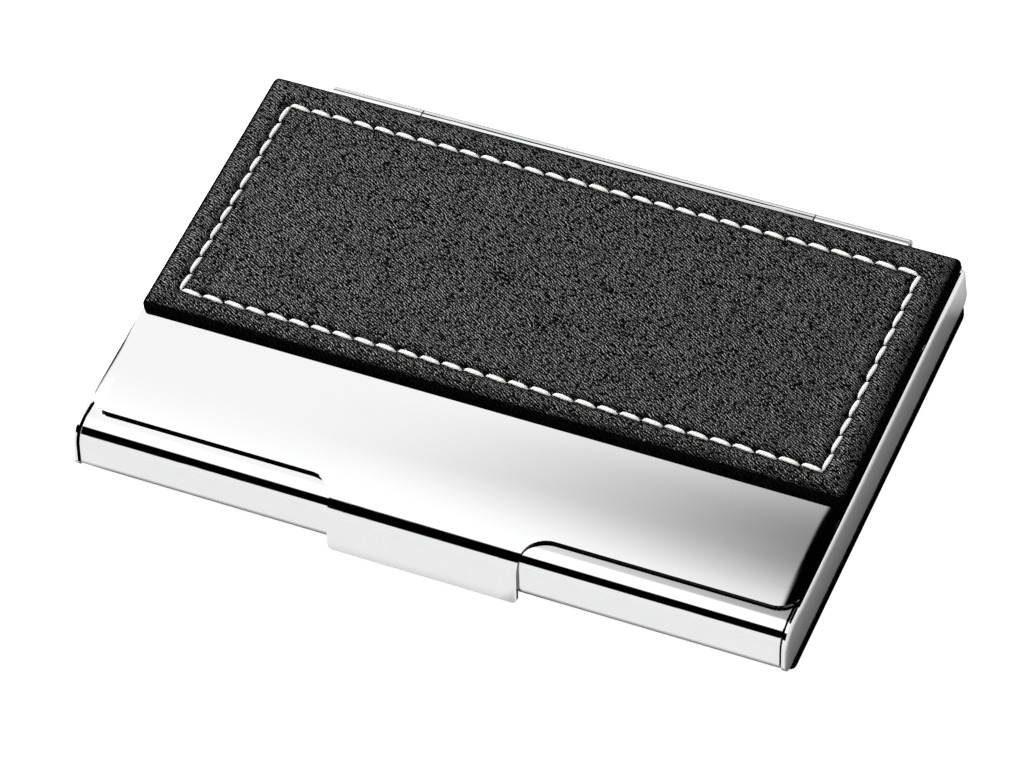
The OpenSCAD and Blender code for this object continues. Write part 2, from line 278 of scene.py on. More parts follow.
def wear_group():
    """Faint smudges and hairline scratches for polished metal."""
    group = bpy.data.node_groups.new("metal_wear", "ShaderNodeTree")
    for name, start in (("Smudge Scale", 60.0), ("Scratch Scale", 300.0)):
        group.interface.new_socket(name, in_out="INPUT",
                                   socket_type="NodeSocketFloat").default_value = start
    for name in ("Smudges", "Scratches"):
        group.interface.new_socket(name, in_out="OUTPUT", socket_type="NodeSocketFloat")
    asked = put(group, "NodeGroupInput")
    place = put(group, "ShaderNodeTexCoord").outputs["Object"]
    smudges = put(group, "ShaderNodeTexNoise", {
        "Vector": place, "Scale": asked.outputs["Smudge Scale"], "Detail": 4.0, "Roughness": 0.6,
    }).outputs["Fac"]
    hairlines = 0.0
    for turn in (0.35, 1.25, 2.5):
        streaks = put(group, "ShaderNodeMapping", {
            "Vector": place, "Rotation": (0, 0, turn), "Scale": (0.04, 1, 1)})
        field = put(group, "ShaderNodeTexNoise", {
            "Vector": streaks.outputs[0], "Scale": asked.outputs["Scratch Scale"],
            "Detail": 6.0, "Roughness": 0.7,
        }).outputs["Fac"]
        ridge = maths(group, "ABSOLUTE", maths(group, "SUBTRACT", field, 0.62))
        hairlines = maths(group, "ADD", hairlines, ramp(group, ridge, 0.012, 0.0))
    put(group, "NodeGroupOutput", {
        "Smudges": ramp(group, smudges, 0.35, 0.75), "Scratches": hairlines})
    return group


metal_wear = wear_group()


def metal(name, colour, polish, smudged, scratched, smudge_scale, scratch_scale):
    """Polished or brushed metal, where polish is the lowest roughness."""
    made, tree, skin = material(name)
    wear = put(tree, "ShaderNodeGroup", node_tree=metal_wear)
    wear.inputs["Smudge Scale"].default_value = smudge_scale
    wear.inputs["Scratch Scale"].default_value = scratch_scale
    rough = maths(tree, "ADD", polish, maths(tree, "MULTIPLY", wear.outputs["Smudges"], smudged))
    rough = maths(tree, "ADD", rough,
                  maths(tree, "MULTIPLY", wear.outputs["Scratches"], scratched))
    relief = put(tree, "ShaderNodeBump", {
        "Height": wear.outputs["Scratches"], "Strength": 0.03, "Distance": 0.00001})
    # Painted shade: the marked edge faces take a near-black colour, standing in for the dark shadow
    # gap beside the polished faces
    painted_edge_shade = put(tree, "ShaderNodeAttribute", attribute_name="painted_edge_shade").outputs["Fac"]
    tone = put(tree, "ShaderNodeMix", {"Factor": painted_edge_shade, 6: colour, 7: (0.02, 0.02, 0.022, 1)},
               data_type="RGBA").outputs[2]
    feed(tree, skin, Base_Color=tone, Metallic=1.0, Roughness=rough,
         Normal=relief.outputs[0])
    return made


polished_steel = metal("polished_steel", steel_colour, 0.035, 0.04, 0.03, 55, 240)


def bent_line(start, heading, pieces, step=6):
    """Points along a line of (length, turn) pieces: straights, and arcs of at most step degrees."""
    y, z = start
    points = [(y, z)]
    for length, turn in pieces:
        count = max(1, math.ceil(abs(turn) / step))
        for i in range(count):
            middle = math.radians(heading + turn / count / 2)
            half_turn = math.radians(turn / count / 2)
            chord = length / count * (math.sin(half_turn) / half_turn if turn else 1)
            y += chord * math.cos(middle)
            z += chord * math.sin(middle)
            heading += turn / count
            points.append((y, z))
    return points


def arc(radius, turn):
    """An arc as a (length, turn) piece, its turn in degrees."""
    return (abs(math.radians(turn)) * radius, turn)


def strip(shape, points, x0, x1, cuts=1):
    """A bent strip of sheet metal along X, whose outer face follows the points."""
    line = [shape.verts.new((x0, y, z)) for y, z in points]
    edges = [shape.edges.new(pair) for pair in zip(line, line[1:])]
    made = []
    for _ in range(cuts):
        grown = bmesh.ops.extrude_edge_only(shape, edges=edges)["geom"]
        line = [g for g in grown if isinstance(g, bmesh.types.BMVert)]
        edges = [g for g in grown if isinstance(g, bmesh.types.BMEdge)
                 and all(v in line for v in g.verts)]
        made += [g for g in grown if isinstance(g, bmesh.types.BMFace)]
        bmesh.ops.translate(shape, verts=line, vec=((x1 - x0) / cuts, 0, 0))
    bmesh.ops.recalc_face_normals(shape, faces=made)
    return made


def thicken(shape, faces, thick, inward):
    """Give faces a thickness on the side that the vector function inward points to."""
    def inwardness(face):
        return face.normal.dot(inward(face.calc_center_median()))

    bmesh.ops.recalc_face_normals(shape, faces=faces)
    shape.normal_update()
    if sum(inwardness(face) for face in faces) > 0:
        bmesh.ops.reverse_faces(shape, faces=faces)
    bmesh.ops.solidify(shape, geom=faces, thickness=thick)


def soften(shape, width, segments=2, sharper_than=50):
    """Bevel every edge that is sharper than the angle."""
    shape.normal_update()
    limit = math.radians(sharper_than)
    edges = [e for e in shape.edges if e.is_manifold and e.calc_face_angle(0) > limit]
    bmesh.ops.bevel(shape, geom=edges, offset=width, offset_type="OFFSET", affect="EDGES",
                    segments=segments, profile=0.5, material=-1, clamp_overlap=True)


def nose_pieces(top, under):
    """Run from the heel's centre to the nose's, and the front's round, flank and round."""
    lean = math.radians(front_lean)
    drop = (top - nose_radius) - (under + heel_radius)
    run = ((nose_radius - heel_radius) + drop * math.sin(lean)) / math.cos(lean)
    flank = math.sqrt(run ** 2 + drop ** 2 - (nose_radius - heel_radius) ** 2)
    return run, [arc(nose_radius, 90 - front_lean), (flank, 0), arc(heel_radius, 90 + front_lean)]


roll_front = wall_front + 0.2
roll_top = lid_top - sheet - 0.25
lip_end = -25.0
nose_run, nose = nose_pieces(roll_top, floor_under)
nose_start = roll_front + heel_radius + nose_run
rear_bend = 0.8
rear_wall_top = 6.2
floor_run = rear_face - rear_bend - (roll_front + heel_radius)
rear_wall_rise = rear_wall_top - floor_under - rear_bend
roll_seam = 0.3
middle_z = 5

tray = bmesh.new()
pan = strip(
    tray,
    bent_line((lip_end, roll_top), 180,
              [(lip_end - nose_start, 0), *nose, (floor_run, 0), arc(rear_bend, 90),
               (rear_wall_rise, 0)]),
    -half_inside, half_inside, cuts=2)
thicken(tray, pan, sheet, lambda at: Vector((0, 0, middle_z - at.z)))
for v in tray.verts:
    if v.co.y < -20 and v.co.z > floor_under + 0.9:
        v.co.x = math.copysign(min(abs(v.co.x), half_inside - roll_seam), v.co.x)
soften(tray, 0.08)

# The rear corners stand higher than the wall behind the hinge
hinge_half = 39.5
corner_top, corner_tall = 8.3, 3.1
corner_wide = half_inside - hinge_half - 0.3
for side in (-1, 1):
    corner = bmesh.ops.create_cube(tray, size=1)["verts"]
    bmesh.ops.scale(tray, vec=(corner_wide, sheet, corner_tall), verts=corner)
    bmesh.ops.translate(tray, verts=corner, vec=(
        side * (half_inside - corner_wide / 2), rear_face - sheet / 2,
        corner_top - corner_tall / 2))

# Each outer knuckle is a tongue of the rear wall, curled over the pin from the front
knuckle_long = 12.5
tongue_foot = 5.0
tongue_turn = 305
for side in (-1, 1):
    inner = side * (hinge_half - knuckle_long)
    curl = strip(
        tray,
        bent_line((pin_y - knuckle_radius, tongue_foot), 90,
                  [(pin_z - tongue_foot, 0), arc(knuckle_radius, -tongue_turn)], step=12),
        min(inner, side * hinge_half), max(inner, side * hinge_half))
    thicken(tray, curl, sheet, lambda at: Vector((0, pin_y - at.y, pin_z - at.z)))

# Side walls: an outline, raised in narrow steps that round its outer shoulder
shoulder_deep, shoulder_wide, shoulder_steps = 1.15, 0.34, 8
wall_high = lid_top - sheet - 0.1
wall_top = wall_high - wall_step
step_front, step_rear = -25.9, -25.3
wall_run, wall_nose = nose_pieces(wall_high, floor_under)
wall_nose_start = wall_front + heel_radius + wall_run
wall_line = bent_line(
    (step_front, wall_high), 180,
    [(step_front - wall_nose_start, 0), *wall_nose,
     (rear_face - rear_radius - wall_front - heel_radius, 0), arc(rear_radius, 90),
     (wall_top - floor_under - 2 * rear_radius, 0), arc(rear_radius, 90)])
wall_line.append((step_rear, wall_top))
for side in (-1, 1):
    plate = tray.faces.new([tray.verts.new((side * half_inside, y, z)) for y, z in wall_line])
    body = bmesh.ops.extrude_face_region(tray, geom=[plate])["geom"]
    face = next(g for g in body if isinstance(g, bmesh.types.BMFace))
    raised = half_case - half_inside - shoulder_wide
    bmesh.ops.translate(tray, verts=face.verts[:], vec=(side * raised, 0, 0))
    if plate.is_valid and plate.normal.x * side > 0:
        bmesh.ops.reverse_faces(tray, faces=[plate])
    for i in range(shoulder_steps):
        before, after = (math.pi / 2 * step / shoulder_steps for step in (i, i + 1))
        inset = shoulder_deep * (math.cos(before) - math.cos(after))
        lift = shoulder_wide * (math.sin(after) - math.sin(before))
        bmesh.ops.inset_region(tray, faces=[face], thickness=inset, depth=0,
                               use_even_offset=True)
        for v in face.verts:
            v.co.x += side * lift
bmesh.ops.remove_doubles(tray, verts=tray.verts, dist=0.0005)
bmesh.ops.recalc_face_normals(tray, faces=tray.faces)
# Only the top of a side wall is rounded; its foot runs down straight onto the leather
for v in tray.verts:
    if abs(v.co.x) > half_inside + 0.05 and v.co.z < middle_z:
        share = min(1.0, (middle_z - v.co.z) / 2)
        v.co.x += math.copysign(half_case - abs(v.co.x), v.co.x) * share * 0.75
tray_steel = finished(tray, "steel_tray", polished_steel)
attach(tray_steel, "base")
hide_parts("base_shell")


# ---------------------------------------------------------------- polished steel lid
# One sheet again: cut flat to its outline with the thumb tab in front and the knuckle
# behind, then bent over the front roll and curled round the pin. Its sides roll down.
lid_half = lid_high.x / MM
lid_front = -26.6
lid_rear = pin_y - 1.6
tab_half = 12.6
tab_fillet = 3.5
tab_bend = 3.8
corner_radius = 3.0
panel_low, panel_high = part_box("top_leather_cover")
panel_front = panel_low.y / MM
tab_front = lid_low.y / MM
tab_bottom = lid_low.z / MM
curl_turn = 290
tongue_half, tongue_long = 7.0, 2.4
knuckle_half = hinge_half - knuckle_long - 0.2

# The sheet's way from the hinge to the tab's lower edge, as lengths and turns
bend_reach = tab_bend * math.cos(math.radians(front_lean))
flank_high = lid_top - tab_bend * (1 - math.sin(math.radians(front_lean))) - tab_bottom
bend_start = tab_front + bend_reach + flank_high * math.tan(math.radians(front_lean))
crown = [(2.0, -1.6), (4.0, 1.6), (5.5, 0.9), (3.5, 1.4), (4.0, 1.8)]
crown_turn = sum(turn for _, turn in crown)
flat_run = pin_y - panel_front - 2.0
last_run = (pin_y - bend_start) - flat_run - sum(length for length, _ in crown)
lid_way = [(flat_run, 0), *crown, (last_run, 0), arc(tab_bend, 90 - front_lean - crown_turn),
           (flank_high / math.cos(math.radians(front_lean)), 0)]
lid_long = sum(length for length, _ in lid_way)


def on_way(way, start, heading, distance):
    """The point a distance along a line of pieces, and its heading."""
    y, z = start
    for length, turn in way:
        here = min(distance, length)
        if here <= 0:
            break
        share = turn * here / length
        half_turn = math.radians(share / 2)
        chord = here * (math.sin(half_turn) / half_turn if share else 1)
        middle = math.radians(heading) + half_turn
        y += chord * math.cos(middle)
        z += chord * math.sin(middle)
        heading += share
        distance -= here
    return y, z, heading


def round_corner(centre, radius, first, last, steps=10):
    """Points of an arc in the flat, from one angle to another in degrees."""
    angles = [math.radians(first + (last - first) * i / steps) for i in range(steps + 1)]
    return [(centre[0] + radius * math.cos(a), centre[1] + radius * math.sin(a))
            for a in angles]


# Flat outline of the right half as (x, distance from the hinge towards the front)
edge_at = pin_y - lid_front
half_turn_at = -math.pi * knuckle_radius
curl_end = -math.radians(curl_turn) * knuckle_radius
tongue_end = half_turn_at - tongue_long
slit = 0.25
outline = [
    (0, tongue_end), (tongue_half, tongue_end), (tongue_half, half_turn_at),
    (tongue_half + slit, half_turn_at), (tongue_half + slit, curl_end),
    (knuckle_half, curl_end), (knuckle_half, pin_y - lid_rear), (lid_half, pin_y - lid_rear),
    *round_corner((lid_half - corner_radius, edge_at - corner_radius), corner_radius, 0, 90),
    *round_corner((tab_half + tab_fillet, edge_at + tab_fillet), tab_fillet, 270, 180),
    (tab_half, lid_long - 0.6), (tab_half - 0.18, lid_long - 0.18),
    (tab_half - 0.6, lid_long), (0, lid_long),
]
# The blank is cut into bands across and along, narrowest where the sheet bends
lid = bmesh.new()
blank = lid.faces.new([lid.verts.new((x, d, 0)) for x, d in outline])
bmesh.ops.triangulate(lid, faces=[blank])
lines_across = [curl_end + 0.05 + 0.3 * i for i in range(26)]
lines_across += [4.0 + 2.9 * i for i in range(12)]
lines_across += [38.0 + 0.7 * i for i in range(27)]
lines_across += [57.2 + 0.35 * i for i in range(20)]
for d in lines_across:
    bmesh.ops.bisect_plane(lid, geom=lid.verts[:] + lid.edges[:] + lid.faces[:],
                           plane_co=(0, d, 0), plane_no=(0, 1, 0), dist=1e-5)
side_roll_wide, side_roll_radius = 2.0, 6.0
lines_along = [0.9 + 3.1 * i for i in range(15)]
lines_along += [lid_half - side_roll_wide - 0.6 + 0.2 * i for i in range(13)]
for x in lines_along:
    bmesh.ops.bisect_plane(lid, geom=lid.verts[:] + lid.edges[:] + lid.faces[:],
                           plane_co=(x, 0, 0), plane_no=(1, 0, 0), dist=1e-5)
bmesh.ops.dissolve_limit(lid, angle_limit=0.001, verts=[], edges=[])
bmesh.ops.mirror(lid, geom=lid.verts[:] + lid.edges[:] + lid.faces[:], axis="X",
                 merge_dist=0.001)
for v in lid.verts:
    x, d = v.co.x, v.co.y
    if d >= 0:
        y, z, heading = on_way(lid_way, (pin_y, lid_top), 180, d)
    elif d < half_turn_at - 1e-6 and abs(x) <= tongue_half + slit / 2:
        y, z = pin_y + (d - half_turn_at), pin_z - knuckle_radius
    else:
        a = math.pi / 2 + d / knuckle_radius
        y, z = pin_y + knuckle_radius * math.cos(a), pin_z + knuckle_radius * math.sin(a)
    over = max(0.0, abs(x) - (lid_half - side_roll_wide))
    if over and d > 0:
        flat = 0.6 * math.exp(-((y - panel_front + 0.3) / 3.0) ** 2)
        z -= (side_roll_radius - math.sqrt(side_roll_radius ** 2 - over ** 2)) * (1 - flat)
    v.co = (x, y, z)
bmesh.ops.recalc_face_normals(lid, faces=lid.faces)
thicken(lid, lid.faces[:], sheet,
        lambda at: Vector((0, 0, -1)) if at.z > lid_top - 1.5 else Vector((0, 1, 0)))
bmesh.ops.recalc_face_normals(lid, faces=lid.faces)
# Painted shade: the lid's front edge faces and its sideways-facing edge faces are marked for the
# near-black colour
painted_edge_shade = lid.faces.layers.float.new("painted_edge_shade")
for face in lid.faces:
    at, facing = face.calc_center_median(), face.normal
    in_front = abs(facing.z) < 0.5 and at.z > lid_top - 1.6 and tab_front + 1 < at.y < 0
    face[painted_edge_shade] = float(in_front or abs(facing.x) > 0.6)
soften(lid, 0.04, sharper_than=60)
lid_steel = finished(lid, "steel_lid", polished_steel)
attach(lid_steel, "lid")
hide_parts("lid_plate")


# ---------------------------------------------------------------- hinge pin and spring
# The drawn steel pin shows only at its two cut ends. The leaf spring inside the tray is
# cold-rolled strip, darker than the polished sheet.
pin_steel = metal("pin_steel", (0.56, 0.57, 0.58, 1), 0.22, 0.1, 0.12, 200, 900)
spring_steel = metal("spring_steel", (0.42, 0.43, 0.46, 1), 0.26, 0.14, 0.2, 120, 500)


def coat(node_name, finish):
    """Give a piece that keeps its plain mesh its material."""
    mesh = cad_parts[node_name].data
    mesh.materials.clear()
    mesh.materials.append(finish)


coat("hinge_pin", pin_steel)
coat("snap_spring", spring_steel)


# ---------------------------------------------------------------- leather panels
# Black calf leather, turned over a thin foam and a stiff board. The seam pulls it down
# in a groove, so a soft welt stands along the edge and each needle hole makes a dimple.
seam_inset = 3.6
stitch_long = 3.0
groove_deep, groove_wide = 0.34, 0.55
welt_high, welt_out, welt_wide = 0.06, 1.6, 0.9
inner_high, inner_in, inner_wide = 0.09, 1.5, 1.0
hole_deep = 0.24
corner_round = 0.8
pocket_wall = 0.6
leather_thick = 0.5


def leather():
    """Fine grain of short strokes lying askew, with painted shade: hollows darker, reflection
    turned down on the flanks.
    """
    made, tree, skin = material("black_leather")
    place = put(tree, "ShaderNodeTexCoord").outputs["Object"]
    # Rows of strokes that wander a little and break off here and there
    drift = put(tree, "ShaderNodeTexNoise", {"Vector": place, "Scale": 380.0, "Detail": 0.0})
    shifted = put(tree, "ShaderNodeVectorMath", {
        0: drift.outputs["Color"], 1: (0.0004, 0.0004, 0.0004)}, operation="MULTIPLY")
    wavy = put(tree, "ShaderNodeVectorMath", {0: place, 1: shifted.outputs[0]},
               operation="ADD")
    turned = put(tree, "ShaderNodeMapping", {
        "Vector": wavy.outputs[0], "Rotation": (0, 0, 0.447)})
    rows = put(tree, "ShaderNodeTexWave", {
        "Vector": turned.outputs[0], "Scale": 960.0, "Distortion": 4.5, "Detail": 1.0,
        "Detail Scale": 2.2}, bands_direction="Y").outputs["Fac"]
    strokes = put(tree, "ShaderNodeMapping", {
        "Vector": turned.outputs[0], "Scale": (0.45, 1.0, 0.8)})
    broken = put(tree, "ShaderNodeTexNoise", {
        "Vector": strokes.outputs[0], "Scale": 4600.0, "Detail": 0.0}).outputs["Fac"]
    grain = maths(tree, "MULTIPLY", rows, ramp(tree, broken, 0.29, 0.54, 0.3, 1.0))
    patches = put(tree, "ShaderNodeTexNoise", {
        "Vector": place, "Scale": 90.0, "Detail": 3.0}).outputs["Fac"]
    relief = put(tree, "ShaderNodeBump", {
        "Height": grain, "Strength": 1.0, "Distance": 0.00005})
    holes = put(tree, "ShaderNodeAttribute", attribute_name="needle_hole").outputs["Fac"]
    crest = ramp(tree, grain, 0.2, 0.78)
    # Painted shade: the grain's hollows are coloured darker than its crests
    colour = put(tree, "ShaderNodeMix", {
        "Factor": crest, 6: (0.0008, 0.0008, 0.001, 1), 7: (0.004, 0.004, 0.0044, 1)},
        data_type="RGBA").outputs[2]
    # Painted shade: the needle holes are coloured black
    colour = put(tree, "ShaderNodeMix", {"Factor": holes, 6: colour, 7: (0, 0, 0, 1)},
                 data_type="RGBA").outputs[2]
    # Painted shade: the reflection is turned down in the grain's hollows and on the flanks, which
    # face away from the top, so they read dark
    upward_facing = put(tree, "ShaderNodeSeparateXYZ", {
        0: put(tree, "ShaderNodeTexCoord").outputs["Normal"]}).outputs[2]
    unshaded_top = ramp(tree, maths(tree, "ABSOLUTE", upward_facing), 0.86, 0.975)
    rough = maths(tree, "ADD", ramp(tree, crest, 0.0, 1.0, 0.34, 0.17), ramp(
        tree, patches, 0.3, 0.7, 0.0, 0.05))
    rough = maths(tree, "ADD", rough, maths(tree, "MULTIPLY", holes, 0.4))
    shine = maths(tree, "MULTIPLY", ramp(tree, crest, 0.0, 1.0, 0.01, 1.0), unshaded_top)
    feed(tree, skin, Base_Color=colour, Roughness=rough, Normal=relief.outputs[0],
         Specular_IOR_Level=shine)
    return made


black_leather = leather()


def seam_points(seam):
    """Needle holes counter-clockwise round a seam given as (half width, front, rear)."""
    xs, ya, yb = seam
    corners = [Vector((-xs, ya)), Vector((xs, ya)), Vector((xs, yb)), Vector((-xs, yb))]
    holes = []
    for start, end in zip(corners, corners[1:] + corners[:1]):
        count = round((end - start).length / stitch_long)
        holes += [start.lerp(end, i / count) for i in range(count)]
    return holes


def eased(value, limit):
    """Smooth rise from 0 to 1 as the value goes from 0 to the limit."""
    t = min(max(value / limit, 0.0), 1.0)
    return t * t * (3 - 2 * t)


def swell(distance, centre, width):
    """A soft ridge of height 1 at a distance from the seam."""
    return math.exp(-((distance - centre) / width) ** 2)


def leather_cover(outline, seam, tall, side_share, edge_round, crown, cell):
    """A panel's leather, face up on z = 0, with its turned edge and the pocket below.

    outline and seam are (half width, front, rear). side_share is how much of the
    thickness is upright side, below the rounded edge.
    """
    (half, y0, y1), (xs, ya, yb) = outline, seam
    middle_y = (y0 + y1) / 2
    side_top = tall * side_share

    def drawn_in(x, y):
        """Height of the skin, and how much of a needle hole is here."""
        out_x, out_y = abs(x) - xs, abs(y - (ya + yb) / 2) - (yb - ya) / 2
        from_seam = math.hypot(out_x, out_y) if min(out_x, out_y) > 0 else max(out_x, out_y)
        start, run, here = (ya, yb - ya, y) if out_x > out_y else (-xs, 2 * xs, x)
        count = round(run / stitch_long)
        place = (here - start) / run * count
        arch = math.sin(math.pi * (place - math.floor(place)))
        to_hole = abs(place - round(place)) * run / count
        hole = swell(from_seam, -0.24, 0.2) * swell(to_hole, 0, 0.26)
        top = tall - groove_deep * swell(from_seam, 0, groove_wide) * (1 - 0.3 * arch)
        top += welt_high * swell(from_seam, welt_out, welt_wide) * (0.82 + 0.18 * arch)
        top += inner_high * swell(from_seam, -inner_in, inner_wide) * (0.75 + 0.25 * arch)
        top += crown * eased(-from_seam - 1.0, 9.0) - hole_deep * hole
        t = min(max(min(half - abs(x), y - y0, y1 - y) / edge_round, 0.0), 1.0)
        return side_top + (top - side_top) * math.sqrt(1 - (1 - t) ** 2), hole

    shape = bmesh.new()
    bmesh.ops.create_grid(shape, x_segments=round(2 * half / cell),
                          y_segments=round((y1 - y0) / cell), size=1)
    holes = shape.verts.layers.float.new("needle_hole")
    inner_x, inner_y = half - corner_round, (y1 - y0) / 2 - corner_round
    for v in shape.verts:
        x, y = v.co.x * half, middle_y + v.co.y * (y1 - y0) / 2
        v.co.z, v[holes] = drawn_in(x, y)
        over = Vector((abs(x) - inner_x, abs(y - middle_y) - inner_y))
        if min(over) > 0:
            over *= max(over) / over.length
            x = math.copysign(inner_x + over.x, x)
            y = middle_y + math.copysign(inner_y + over.y, y - middle_y)
        v.co.x, v.co.y = x, y
    # The side: a full fold above, a crease, and the turned edge below it
    rim = [e for e in shape.edges if e.is_boundary]
    for out, share in ((0.05, 0.86), (0.07, 0.66), (0.0, 0.5), (0.07, 0.36), (0.05, 0.12),
                       (0.0, 0.0)):
        grown = bmesh.ops.extrude_edge_only(shape, edges=rim)["geom"]
        rim = [g for g in grown if isinstance(g, bmesh.types.BMEdge) and g.is_boundary]
        for v in {v for e in rim for v in e.verts}:
            core = Vector((max(-inner_x, min(inner_x, v.co.x)),
                           max(middle_y - inner_y, min(middle_y + inner_y, v.co.y))))
            away = (v.co.xy - core).normalized() * (corner_round + out)
            v.co = (*(core + away), side_top * share)
    under = bmesh.ops.contextual_create(shape, geom=rim)["faces"]
    bmesh.ops.inset_region(shape, faces=under, thickness=pocket_wall, use_even_offset=True)
    ceiling = bmesh.ops.extrude_discrete_faces(shape, faces=under)["faces"]
    lifted = bmesh.ops.extrude_edge_only(
        shape, edges=[e for e in shape.edges if e.is_boundary
                      and all(abs(v.co.z) < 1e-6 for v in e.verts)
                      and not any(f in ceiling for f in e.link_faces)])["geom"]
    for v in {g for g in lifted if isinstance(g, bmesh.types.BMVert)} \
            | {v for f in ceiling for v in f.verts}:
        v.co.z = tall - leather_thick
    bmesh.ops.remove_doubles(shape, verts=shape.verts, dist=0.0005)
    bmesh.ops.recalc_face_normals(shape, faces=shape.faces)
    return shape


top_half = panel_high.x / MM
top_y0, top_y1 = panel_low.y / MM, panel_high.y / MM
panel_top = panel_high.z / MM
rear_reach = 0.4
seam_forward = 0.2, 0.3
top_seam = (top_half - seam_inset, top_y0 + seam_inset - seam_forward[0],
            top_y1 - seam_inset - seam_forward[1])
shape = leather_cover((lid_half, top_y0, top_y1 + rear_reach), top_seam, panel_top - lid_top,
                      side_share=0.5, edge_round=2.3, crown=0.1, cell=0.28)
bmesh.ops.translate(shape, verts=shape.verts, vec=(0, 0, lid_top))
# The turned edge follows the lid down where its sides roll
edge_high = 0.6
for v in shape.verts:
    over = abs(v.co.x) - (lid_half - side_roll_wide)
    if over > 0 and v.co.z < lid_top + edge_high:
        v.co.z -= (side_roll_radius - math.sqrt(side_roll_radius ** 2 - over ** 2)) \
            * (1 - max(0.0, v.co.z - lid_top) / edge_high)
top_leather = finished(shape, "top_leather_panel", black_leather, smooth_below=60)
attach(top_leather, "lid")
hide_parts("top_leather_cover")


def turned_under(shape):
    """Turn a piece that was made face up over, below the tray and clear of the table."""
    bmesh.ops.scale(shape, vec=(1, 1, -1), verts=shape.verts)
    bmesh.ops.translate(shape, verts=shape.verts, vec=(0, 0, floor_under))
    bmesh.ops.reverse_faces(shape, faces=shape.faces)
    for v in shape.verts:
        v.co.z = max(v.co.z, 0.0)


under_low, under_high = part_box("bottom_leather_cover")
under_half = under_high.x / MM
under_y0, under_y1 = under_low.y / MM, under_high.y / MM
under_seam = (under_half - seam_inset, under_y0 + seam_inset, under_y1 - seam_inset)
front_reach = 0.5
shape = leather_cover((under_half, under_y0 - front_reach, under_y1), under_seam, floor_under,
                      side_share=0.82, edge_round=0.4, crown=0.0, cell=0.42)
turned_under(shape)
bmesh.ops.recalc_face_normals(shape, faces=shape.faces)
bottom_leather = finished(shape, "bottom_leather_panel", black_leather, smooth_below=60)
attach(bottom_leather, "base")
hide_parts("bottom_leather_cover")


# ---------------------------------------------------------------- white seams
# Lock stitches in thick waxed thread. Each is a swollen, slightly slanted arch that dives
# into a needle hole at both ends.
thread_half, thread_thick = 0.31, 0.24
stitch_slant = math.radians(-6)
arch_high = 0.10
dive_from, hidden_depth = 0.72, 0.3


def twist_group():
    """Ridges of a plied thread, wound round the length that U measures."""
    group = bpy.data.node_groups.new("thread_twist", "ShaderNodeTree")
    group.interface.new_socket("Vector", in_out="INPUT", socket_type="NodeSocketVector")
    group.interface.new_socket("Ridges", in_out="OUTPUT", socket_type="NodeSocketFloat")
    asked = put(group, "NodeGroupInput")
    plies = put(group, "ShaderNodeTexWave", {
        "Vector": asked.outputs["Vector"], "Scale": 1.0, "Distortion": 0.6, "Detail": 1.0,
        "Detail Scale": 2.0}, wave_type="BANDS", bands_direction="DIAGONAL").outputs["Fac"]
    put(group, "NodeGroupOutput", {"Ridges": plies})
    return group


thread_twist = twist_group()


def thread(name, colour, source, scale):
    """White plied thread, with painted shade in the lay between its plies."""
    made, tree, skin = material(name)
    place = put(tree, "ShaderNodeTexCoord").outputs[source]
    wound = put(tree, "ShaderNodeMapping", {"Vector": place, "Scale": scale}).outputs[0]
    ridges = put(tree, "ShaderNodeGroup", {"Vector": wound}, node_tree=thread_twist).outputs[0]
    relief = put(tree, "ShaderNodeBump", {
        "Height": ridges, "Strength": 0.3, "Distance": 0.00005})
    # Painted shade: the lay between the plies is coloured a little darker
    shade = put(tree, "ShaderNodeMix", {
        "Factor": ridges, 6: (0.86, 0.86, 0.85, 1), 7: colour}, data_type="RGBA").outputs[2]
    feed(tree, skin, Base_Color=shade, Roughness=0.6, Normal=relief.outputs[0],
         Sheen_Weight=0.25, Specular_IOR_Level=0.3)
    return made


white_thread = thread("white_thread", (0.93, 0.93, 0.92, 1), "UV", (3.0, 2.0, 1.0))
hidden_thread = thread("hidden_thread", (0.86, 0.86, 0.84, 1), "Object", (1500.0, 1500.0, 900.0))


def stitches(seam, face_z):
    """All the stitches of one panel, face up, their arches standing on face_z."""
    shape = bmesh.new()
    shape.loops.layers.uv.new("UVMap")
    holes = seam_points(seam)
    for start, end in zip(holes, holes[1:] + holes[:1]):
        run = (end - start).length
        turn = math.atan2(end.y - start.y, end.x - start.x)
        one = bmesh.new()
        one_wrap = one.loops.layers.uv.new("UVMap")
        bmesh.ops.create_cone(one, cap_ends=True, segments=10, radius1=1, radius2=1, depth=2,
                              matrix=Matrix.Rotation(math.pi / 2, 4, "Y"))
        for cut in (-0.86, -0.68, -0.45, -0.15, 0.15, 0.45, 0.68, 0.86):
            bmesh.ops.bisect_plane(one, geom=one.verts[:] + one.edges[:] + one.faces[:],
                                   plane_co=(cut, 0, 0), plane_no=(1, 0, 0))
        for face in one.faces:
            for loop in face.loops:
                around = math.atan2(loop.vert.co.z, loop.vert.co.y) / math.tau
                loop[one_wrap].uv = (loop.vert.co.x / 2, around)
        for v in one.verts:
            t = v.co.x
            full = max(0.0, 1 - abs(t) ** 2.2) ** 0.8
            wide = thread_half * (0.34 + 0.66 * full)
            thick = thread_thick * (0.5 + 0.5 * full)
            dive = hidden_depth * max(0.0, abs(t) - dive_from) / (1 - dive_from)
            rise = arch_high * (1 - abs(t) ** 2.2) - dive
            v.co = (t * (run / 2 - 0.05), v.co.y * wide, v.co.z * thick + rise)
        bmesh.ops.rotate(one, verts=one.verts, matrix=Matrix.Rotation(turn + stitch_slant, 3, "Z"))
        bmesh.ops.translate(one, verts=one.verts, vec=(
            (start.x + end.x) / 2, (start.y + end.y) / 2, face_z))
        part = bpy.data.meshes.new("stitch")
        one.to_mesh(part)
        one.free()
        shape.from_mesh(part)
        bpy.data.meshes.remove(part)
    return shape


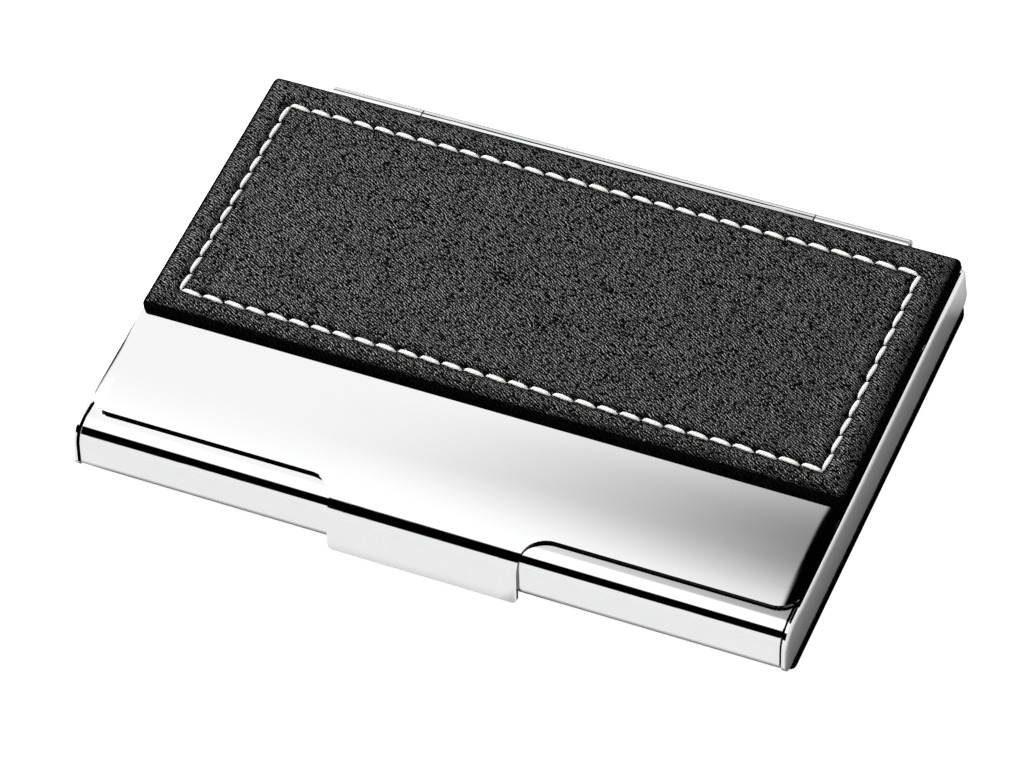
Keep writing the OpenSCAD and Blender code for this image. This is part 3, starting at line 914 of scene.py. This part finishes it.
# How far the middle of a stitch lies below the panel's highest level
seat = groove_deep - 0.17
shape = stitches(top_seam, panel_top - seat)
top_stitches = finished(shape, "top_seam_stitches", white_thread, smooth_below=60)
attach(top_stitches, "lid")
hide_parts("top_needle_thread")

shape = stitches(under_seam, floor_under - seat)
turned_under(shape)
bottom_stitches = finished(shape, "bottom_seam_stitches", white_thread, smooth_below=60)
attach(bottom_stitches, "base")
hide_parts("bottom_needle_thread")
coat("top_bobbin_thread", hidden_thread)
coat("bottom_bobbin_thread", hidden_thread)


# ---------------------------------------------------------------- padding and glue
# Inside each panel: open-cell foam, grey pressed board and a film of contact adhesive.


def foam():
    """Pale open cells with painted shade in their hollows."""
    made, tree, skin = material("padding_foam")
    place = put(tree, "ShaderNodeTexCoord").outputs["Object"]
    cells = put(tree, "ShaderNodeTexVoronoi", {"Vector": place, "Scale": 2600.0})
    relief = put(tree, "ShaderNodeBump", {
        "Height": cells.outputs["Distance"], "Strength": 0.8, "Distance": 0.0001})
    # Painted shade: the hollow in each cell is coloured darker
    colour = put(tree, "ShaderNodeMix", {
        "Factor": cells.outputs["Distance"], 6: (0.34, 0.34, 0.32, 1),
        7: (0.72, 0.72, 0.68, 1)}, data_type="RGBA").outputs[2]
    feed(tree, skin, Base_Color=colour, Roughness=0.9, Normal=relief.outputs[0])
    return made


def pressed_board():
    """Brown-grey fibres lying along the panel."""
    made, tree, skin = material("pressed_board")
    place = put(tree, "ShaderNodeTexCoord").outputs["Object"]
    fibres = put(tree, "ShaderNodeMapping", {"Vector": place, "Scale": (0.25, 1, 1)})
    flecks = put(tree, "ShaderNodeTexNoise", {
        "Vector": fibres.outputs[0], "Scale": 3200.0, "Detail": 5.0, "Roughness": 0.7})
    relief = put(tree, "ShaderNodeBump", {
        "Height": flecks.outputs["Fac"], "Strength": 0.4, "Distance": 0.00005})
    colour = put(tree, "ShaderNodeMix", {
        "Factor": flecks.outputs["Fac"], 6: (0.19, 0.15, 0.10, 1),
        7: (0.40, 0.34, 0.25, 1)}, data_type="RGBA").outputs[2]
    feed(tree, skin, Base_Color=colour, Roughness=0.85, Normal=relief.outputs[0])
    return made


def glue_film():
    """Yellowed contact adhesive, faintly rippled."""
    made, tree, skin = material("glue_film")
    place = put(tree, "ShaderNodeTexCoord").outputs["Object"]
    ripples = put(tree, "ShaderNodeTexNoise", {"Vector": place, "Scale": 700.0, "Detail": 2.0})
    relief = put(tree, "ShaderNodeBump", {
        "Height": ripples.outputs["Fac"], "Strength": 0.3, "Distance": 0.00004})
    colour = put(tree, "ShaderNodeMix", {
        "Factor": ripples.outputs["Fac"], 6: (0.62, 0.56, 0.36, 1),
        7: (0.80, 0.75, 0.55, 1)}, data_type="RGBA").outputs[2]
    feed(tree, skin, Base_Color=colour, Roughness=0.35, Normal=relief.outputs[0])
    return made


for part_name, finish in (("foam_pad", foam()), ("backing_board", pressed_board()),
                          ("adhesive_film", glue_film())):
    for panel in ("top", "bottom"):
        coat(f"{panel}_{part_name}", finish)
